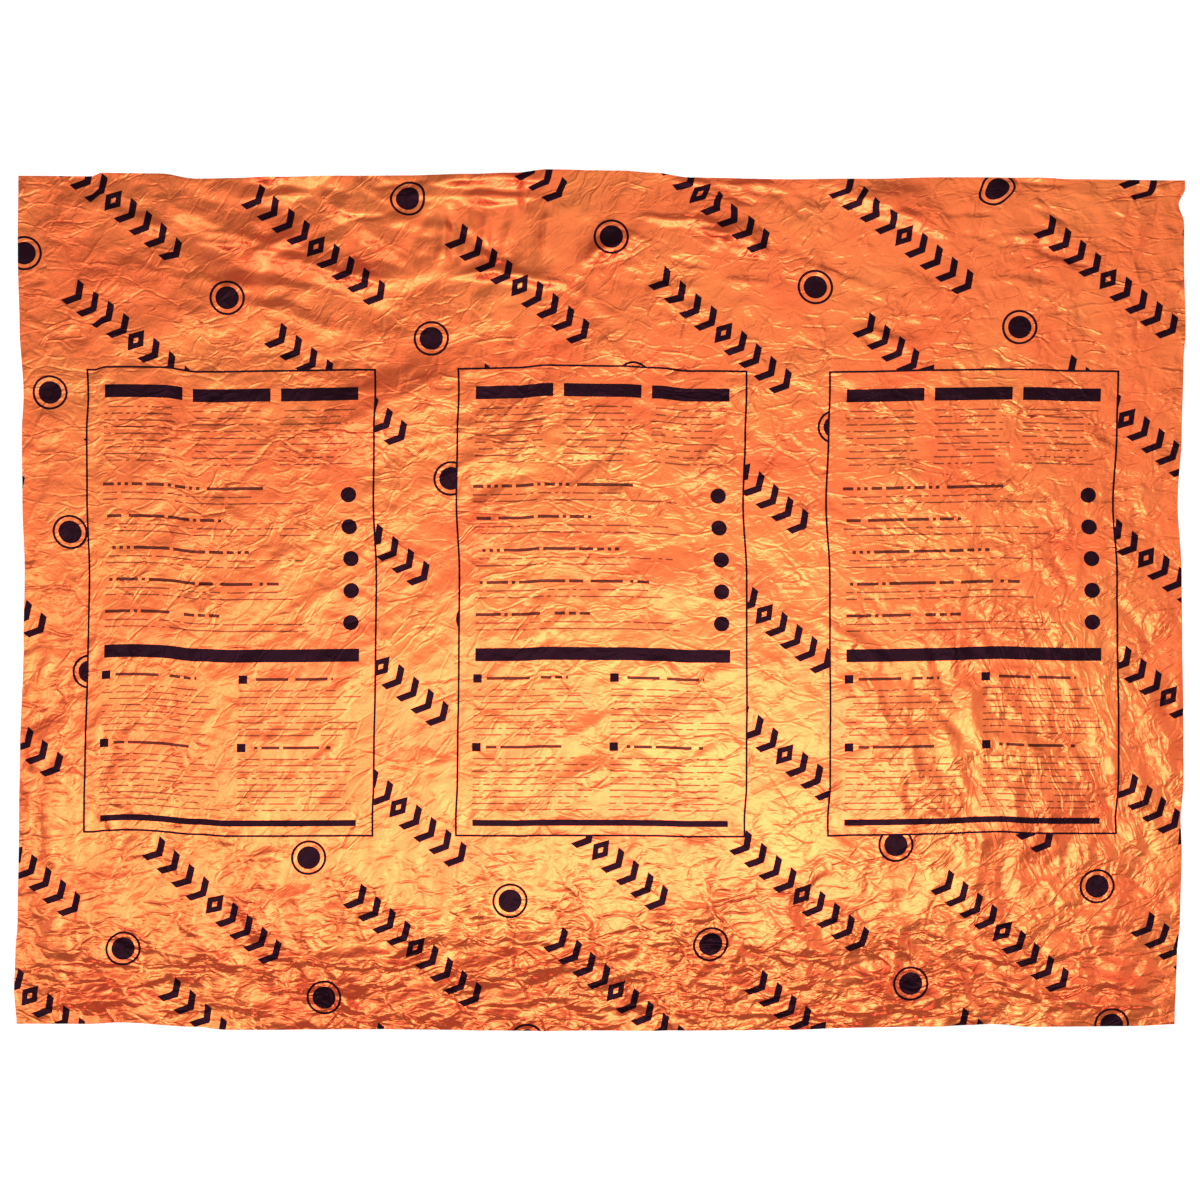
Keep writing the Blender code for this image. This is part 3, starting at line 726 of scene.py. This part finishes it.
# Five steps, each with a dot at its right.
STEPS = 5
STEP_HEIGHT = 0.056
STEPS_PLACE = 0.077
DOT_PLACE = 0.205
DOT_RADIUS = 0.0135
# Two halves, each with two small squares at its left.
HALF_WIDTH = 0.236
SQUARE_SIZE = 0.015
SQUARE_PLACE = -0.098
SQUARE_LEVELS = (-0.1335, -0.2535)

# Blocks of broken rules, one rule under the other: where a block starts and ends, how far apart and how
# thick its rules are, and how uneven their right ends are.
Rules = namedtuple("Rules", "top bottom pitch stroke left right ragged seed")
STEP_THICK = Rules(0.020, 0.006, 0.014, 0.0056, -0.220, 0.100, 0.160, 5)
HALF_THICK = (
    Rules(-0.126, -0.141, 0.015, 0.0052, -0.082, 0.060, 0.030, 3),
    Rules(-0.246, -0.261, 0.015, 0.0052, -0.082, 0.060, 0.030, 8),
)
COLUMN_FINE = Rules(0.344, 0.240, 0.0118, 0.0026, -0.066, 0.066, 0.030, 11)
STEP_FINE = Rules(0.004, -0.020, 0.0118, 0.0026, -0.220, 0.150, 0.120, 17)
HALF_FINE = (
    Rules(-0.148, -0.236, 0.0112, 0.0024, -0.104, 0.106, 0.050, 23),
    Rules(-0.268, -0.368, 0.0112, 0.0024, -0.104, 0.106, 0.050, 29),
)
# A rule is broken into pieces of this length, and this share of them is left out.
RULE_PIECE = 0.0062
LEFT_OUT = 0.20
# What a column, a step and a half each add to the seeds of their rules.
COLUMN_SEED = 5
STEP_SEED = 7
HALF_SEED = 13
# How much ink the thick and the fine rules carry.
THICK_INK = 0.9
FINE_INK = 0.72


def rules(p, q, block, added_seed):
    """A block of thin broken rules, one under the other, with uneven right ends."""
    seed = added_seed + block.seed
    number = ((block.top - q) / block.pitch).floor()
    within = (block.top - q) - (number + 0.5) * block.pitch
    end = block.right - block.ragged * chance(number, seed + 0.5)
    piece = ((p - block.left) / RULE_PIECE).floor()
    inked = (chance(piece, number + seed) > LEFT_OUT) & (abs(within) < block.stroke / 2)
    return inked & (p > block.left) & (p < end) & (q < block.top) & (q > block.bottom)


def column_marks(p, q):
    """The columns' short bars and fine rules."""
    place = p.wrapped(COLUMN_WIDTH)
    seed = (p / COLUMN_WIDTH + 0.5).floor() * COLUMN_SEED
    in_columns = abs(p) < COLUMN_WIDTH * PANEL_COLUMNS / 2
    bars = inside(place, q, 0, SHORT_BAR_PLACE, SHORT_BAR_LENGTH, BAR_WIDTH) & in_columns
    return bars, rules(place, q, COLUMN_FINE, seed) & in_columns


def step_marks(p, q):
    """The steps' dots, thick rules and fine rules."""
    place = (q - STEPS_PLACE).wrapped(STEP_HEIGHT)
    seed = ((q - STEPS_PLACE) / STEP_HEIGHT + 0.5).floor() * STEP_SEED
    in_steps = abs(q - STEPS_PLACE) < STEP_HEIGHT * STEPS / 2
    east = p - DOT_PLACE
    dots = ((east * east + place * place).root() < DOT_RADIUS) & in_steps
    thick = rules(p, place, STEP_THICK, seed) & in_steps
    fine = rules(p, place, STEP_FINE, seed) & in_steps
    return dots, thick, fine


def half_marks(p, q):
    """The halves' squares, thick rules and fine rules."""
    place = (p - HALF_WIDTH / 2).wrapped(HALF_WIDTH)
    seed = (p > 0) * HALF_SEED
    upper, lower = (
        inside(place, q, SQUARE_PLACE, level, SQUARE_SIZE, SQUARE_SIZE) for level in SQUARE_LEVELS
    )
    squares = (upper | lower) & (abs(p) < HALF_WIDTH)
    upper, lower = (rules(place, q, block, seed) for block in HALF_THICK)
    thick = upper | lower
    upper, lower = (rules(place, q, block, seed) for block in HALF_FINE)
    fine = upper | lower
    return squares, thick, fine


def panel_marks(p, q):
    """What is printed in a panel: its strong frame, bars, dots and squares, and its weaker rules."""
    outer = inside(p, q, 0, 0, PANEL_LENGTH, PANEL_WIDTH)
    inner = inside(p, q, 0, 0, PANEL_LENGTH - 2 * FRAME_STROKE, PANEL_WIDTH - 2 * FRAME_STROKE)
    long_bar = inside(p, q, 0, LONG_BAR_PLACE, BAR_LENGTH, BAR_WIDTH)
    foot_bar = inside(p, q, 0, FOOT_BAR_PLACE, BAR_LENGTH, FOOT_BAR_WIDTH)
    short_bars, column_fine = column_marks(p, q)
    dots, step_thick, step_fine = step_marks(p, q)
    squares, half_thick, half_fine = half_marks(p, q)
    strong = (outer & (1 - inner)) | short_bars | dots | long_bar | squares | foot_bar
    thick = step_thick | half_thick
    fine = column_fine | step_fine | half_fine
    return strong | thick * THICK_INK | fine * FINE_INK


def print_mask(p, q):
    """How much black ink lies on the film, from 0 to 1."""
    local = p.wrapped(PANEL_SPACING)
    panel = inside(local, q, 0, 0, PANEL_LENGTH, PANEL_WIDTH) & (abs(p) < PANEL_SPACING * PANELS / 2)
    return (marked_rows(p, q) & (1 - panel)) | (panel_marks(local, q) & panel)


# ---------------------------------------------------------------- the foil

# The film's own orange-gold; the deeper red-orange that it drifts to at random, and that is also painted on
# its steep faces as painted shade; and the ink.
FOIL_BRIGHT = (0.885, 0.213, 0.062, 1.0)
FOIL_DEEP_AND_PAINTED_SHADE = (0.970, 0.113, 0.042, 1.0)
INK = (0.019, 0.0055, 0.010, 1.0)
FOIL_ROUGHNESS = 0.18
INK_ROUGHNESS = 0.32
# The film's tint, 0 for deep and 1 for bright: that of level film, how far it drifts at random and over what
# size, and how much of it steep film loses. That loss is painted shade: steep faces are painted deeper
# red-orange, standing in for light bounced between facing flanks.
LEVEL_TINT = 0.72
TINT_DRIFT = 1.2
TINT_SIZE = 0.16
STEEP_PAINTED_SHADE = 14.0

# The three ways that the finest crinkles can run, and how much each is squeezed along its run.
Run = namedtuple("Run", "heading squeeze")
LEVEL_RUN = Run(3.0, 1.0)
SLANT_RUN = Run(42.0, 1.0)
UPRIGHT_RUN = Run(107.0, 0.5)


def turned(p, q, run):
    """Places along and across a run of crinkles."""
    turn = math.radians(run.heading)
    along = (p * math.cos(turn) + q * math.sin(turn)) * run.squeeze
    return along, q * math.cos(turn) - p * math.sin(turn)


# The finest creases, from wide to small: the size of a cell, how far it is drawn out, and its faces' slope,
# to which the steep one is added within a short reach of the creases between the cells.
Crease = namedtuple("Crease", "size stretch slope reach steep")
WIDE_CREASE = Crease(0.060, 1.8, 0.06, 0.0030, 0.48)
MIDDLE_CREASE = Crease(0.030, 2.4, 0.04, 0.0026, 0.48)
SMALL_CREASE = Crease(0.0110, 2.2, 0.04, 0.0021, 0.24)
# How far apart in their pattern the cells of two kinds of crease lie.
CELLS_APART_ALONG = 7.3
CELLS_APART_ACROSS = 3.1
# How far the crinkles wander and how far their run strays, and over what sizes.
WANDER = 0.022
WANDER_SIZE = 0.050
RUN_STRAY = 2.4
RUN_SIZE = 0.070
# A number that turns softly from low to high while a cloud's value goes from start to end: whether creases
# sink or rise, over so many cells, and how strong all the crinkles are, over a size of its own.
Turn = namedtuple("Turn", "start end low high")
SINK_OR_RISE = Turn(0.40, 0.60, -0.5, 0.5)
TURN_CELLS = 1.6
STRENGTH = Turn(0.36, 0.64, 0.60, 1.35)
STRENGTH_SIZE = 0.080


def creased_cells(along, across, crease, seed):
    """Chance cells drawn out along the run, each one a low roof of flat faces: how high they are."""
    place_along = along / (crease.size * crease.stretch) + seed * CELLS_APART_ALONG
    place = point(place_along, across / crease.size + seed * CELLS_APART_ACROSS)
    kind = {"voronoi_dimensions": "2D", "feature": "DISTANCE_TO_EDGE"}
    cells = along.node("ShaderNodeTexVoronoi", kind, {"Vector": place, "Scale": 1.0}, "Distance")
    inward = cells * crease.size
    return inward * crease.slope + (inward & crease.reach) * crease.steep


def crinkles(p, q, grain):
    """Height in metres of the finest crinkles."""
    run, small, wide = grain.split()
    east = (cloud(p, q, WANDER_SIZE, 1.0) - 0.5) * WANDER
    north = (cloud(p, q, WANDER_SIZE, 2.0) - 0.5) * WANDER
    p = p + east
    q = q + north
    choice = run + (cloud(p, q, RUN_SIZE, 3.0) - 0.5) * RUN_STRAY
    slants = choice > 0.5
    stands = choice > 1.5
    runs = zip(turned(p, q, LEVEL_RUN), turned(p, q, SLANT_RUN), turned(p, q, UPRIGHT_RUN))
    along, across = (
        level * (1 - slants) + slant * (slants - stands) + upright * stands for level, slant, upright in runs
    )
    height = 0.0
    creases = ((WIDE_CREASE, wide), (MIDDLE_CREASE, wide), (SMALL_CREASE, small))
    for seed, (crease, depth) in enumerate(creases):
        way_up = eased_between(cloud(p, q, crease.size * TURN_CELLS, 4.0 + seed), *SINK_OR_RISE)
        height = creased_cells(along, across, crease, seed + 1) * way_up * depth + height
    return height * eased_between(cloud(p, q, STRENGTH_SIZE, 9.0), *STRENGTH)


def foil_material():
    """Orange-gold metallised film, crinkled and printed in black, with painted shade: its steep faces are
    painted deeper red-orange.
    """
    material = bpy.data.materials.new("printed_orange_foil")
    material.use_nodes = True
    tree = material.node_tree
    shader = tree.nodes["Principled BSDF"]
    u, v, _ = add_node(tree, "ShaderNodeUVMap", {"uv_map": "cut"}).split()
    p = (u - 0.5) * FLAT_LENGTH
    q = (v - 0.5) * FLAT_WIDTH
    ink = print_mask(p, q)
    grain = add_node(tree, "ShaderNodeAttribute", {"attribute_name": "grain"}, None, "Vector")
    bump = p.node("ShaderNodeBump", None, {"Height": crinkles(p, q, grain), "Distance": 1.0}, "Normal")
    _, _, upward = bump.split()
    # Painted shade: the steeper a face under its crinkles, the further its colour is pulled towards the deep
    # red-orange. The cloud adds a real tone that drifts at random.
    tint_and_painted_shade = (cloud(p, q, TINT_SIZE, 5.0) - 0.5) * TINT_DRIFT + LEVEL_TINT - (1 - upward) * STEEP_PAINTED_SHADE
    colour = mixed(ink, mixed(tint_and_painted_shade, FOIL_DEEP_AND_PAINTED_SHADE, FOIL_BRIGHT), INK)
    roughness = FOIL_ROUGHNESS + ink * (INK_ROUGHNESS - FOIL_ROUGHNESS)
    tree.links.new(colour.socket, shader.inputs["Base Color"])
    tree.links.new(roughness.socket, shader.inputs["Roughness"])
    tree.links.new(bump.socket, shader.inputs["Normal"])
    shader.inputs["Metallic"].default_value = 1.0
    return material


# ---------------------------------------------------------------- floor, light and camera

FLOOR_SIZE = 14.0
FLOOR_WHITE = (0.93, 0.93, 0.93, 1.0)
FLOOR_ROUGHNESS = 0.9
FLOOR_LIGHT_SIZE = 6.0
FLOOR_LIGHT_HEIGHT = 5.0
FLOOR_LIGHT_GLOW = 2.4
# How high the camera stands, and how much of the floor's width it sees.
CAMERA_HEIGHT = 3.2
FRAME_WIDTH = 2.045
SENSOR_WIDTH = 36.0
# The dome's own glow, between the floor's level (0) and straight up (1): its walls, and its top over them.
WALL_GLOW = Turn(0.0, 0.30, 0.80, 0.43)
TOP_GLOW = Turn(0.83, 0.995, 0.0, 0.71)
# The soft lights in the dome: their middles and half sizes, as shares of their height over the floor, the
# share of the half size that is at full glow, and the glow. A glow below 0 is a grey card that takes light
# away, and the last five stand low at the sides.
SoftLight = namedtuple("SoftLight", "east north reach_east reach_north full glow")
SOFT_LIGHTS = [SoftLight(*row) for row in (
    (-0.070, -0.150, 0.36, 0.190, 0.35, 2.10),
    (0.100, -0.150, 0.21, 0.160, 0.25, 2.30),
    (-0.440, -0.130, 0.16, 0.18, 0.30, 2.20),
    (0.800, -0.050, 0.45, 0.70, 0.30, 0.45),
    (-0.850, 0.000, 0.42, 0.70, 0.30, 0.48),
    (-0.100, 0.400, 1.40, 0.32, 0.40, -0.06),
    (-0.170, 0.380, 0.34, 0.15, 0.30, -0.20),
    (0.000, -0.620, 1.60, 0.32, 0.40, -0.08),
    (-0.140, 0.220, 0.19, 0.18, 0.30, -0.34),
    (-0.330, -0.220, 0.13, 0.11, 0.20, -0.90),
    (0.310, -0.220, 0.13, 0.11, 0.20, -0.80),
    (1.550, 0.600, 0.50, 0.65, 0.40, 2.00),
    (0.100, 1.700, 0.80, 0.45, 0.40, 1.80),
    (-1.600, 0.750, 0.50, 0.75, 0.40, 2.00),
    (-1.150, -1.350, 0.60, 0.50, 0.40, 1.80),
    (0.900, -1.500, 0.60, 0.45, 0.40, 2.00),
)]
# How far above the floor's level they end, between 0 and 1 as before.
LIGHTS_END = 0.05


def make_floor():
    """A plain white floor."""
    bpy.ops.mesh.primitive_plane_add(size=FLOOR_SIZE, location=(0, 0, 0))
    floor = bpy.context.object
    floor.name = "floor"
    material = bpy.data.materials.new("white_floor")
    material.use_nodes = True
    shader = material.node_tree.nodes["Principled BSDF"]
    shader.inputs["Base Color"].default_value = FLOOR_WHITE
    shader.inputs["Roughness"].default_value = FLOOR_ROUGHNESS
    floor.data.materials.append(material)


def make_sky():
    """A plain studio dome, bright at its top and low on its walls, with soft lights and grey cards in it."""
    world = bpy.data.worlds.new("studio_dome")
    bpy.context.scene.world = world
    world.use_nodes = True
    tree = world.node_tree
    east, north, upward = add_node(tree, "ShaderNodeTexCoord", None, None, "Generated").split()
    glow = eased_between(upward, *TOP_GLOW) + eased_between(upward, *WALL_GLOW)
    height = upward | LIGHTS_END
    for light in SOFT_LIGHTS:
        off_east = (east / height - light.east) / light.reach_east
        off_north = (north / height - light.north) / light.reach_north
        off = (off_east * off_east + off_north * off_north).root()
        glow = glow + eased_between(off, light.full, 1.0, light.glow, 0.0) * (upward > LIGHTS_END)
    background = tree.nodes["Background"]
    background.inputs["Color"].default_value = (1.0, 1.0, 1.0, 1.0)
    tree.links.new(glow.socket, background.inputs["Strength"])


def make_floor_light():
    """A wide soft light for the floor, which doesn't show in the foil."""
    light = bpy.data.lights.new("floor_light", "AREA")
    light.shape = "DISK"
    light.size = FLOOR_LIGHT_SIZE
    light.energy = FLOOR_LIGHT_GLOW * math.pi * math.pi * (FLOOR_LIGHT_SIZE / 2) ** 2
    lamp = bpy.data.objects.new("floor_light", light)
    lamp.location = (0.0, 0.0, FLOOR_LIGHT_HEIGHT)
    lamp.visible_glossy = False
    bpy.context.scene.collection.objects.link(lamp)


def make_camera():
    """The view from straight above."""
    lens = bpy.data.cameras.new("camera")
    lens.sensor_width = SENSOR_WIDTH
    lens.lens = SENSOR_WIDTH * CAMERA_HEIGHT / FRAME_WIDTH
    camera = bpy.data.objects.new("camera", lens)
    camera.location = (0, 0, CAMERA_HEIGHT)
    bpy.context.scene.collection.objects.link(camera)
    bpy.context.scene.camera = camera


bpy.context.scene.view_settings.view_transform = "Standard"
make_blanket()
make_floor()
make_sky()
make_floor_light()
make_camera()

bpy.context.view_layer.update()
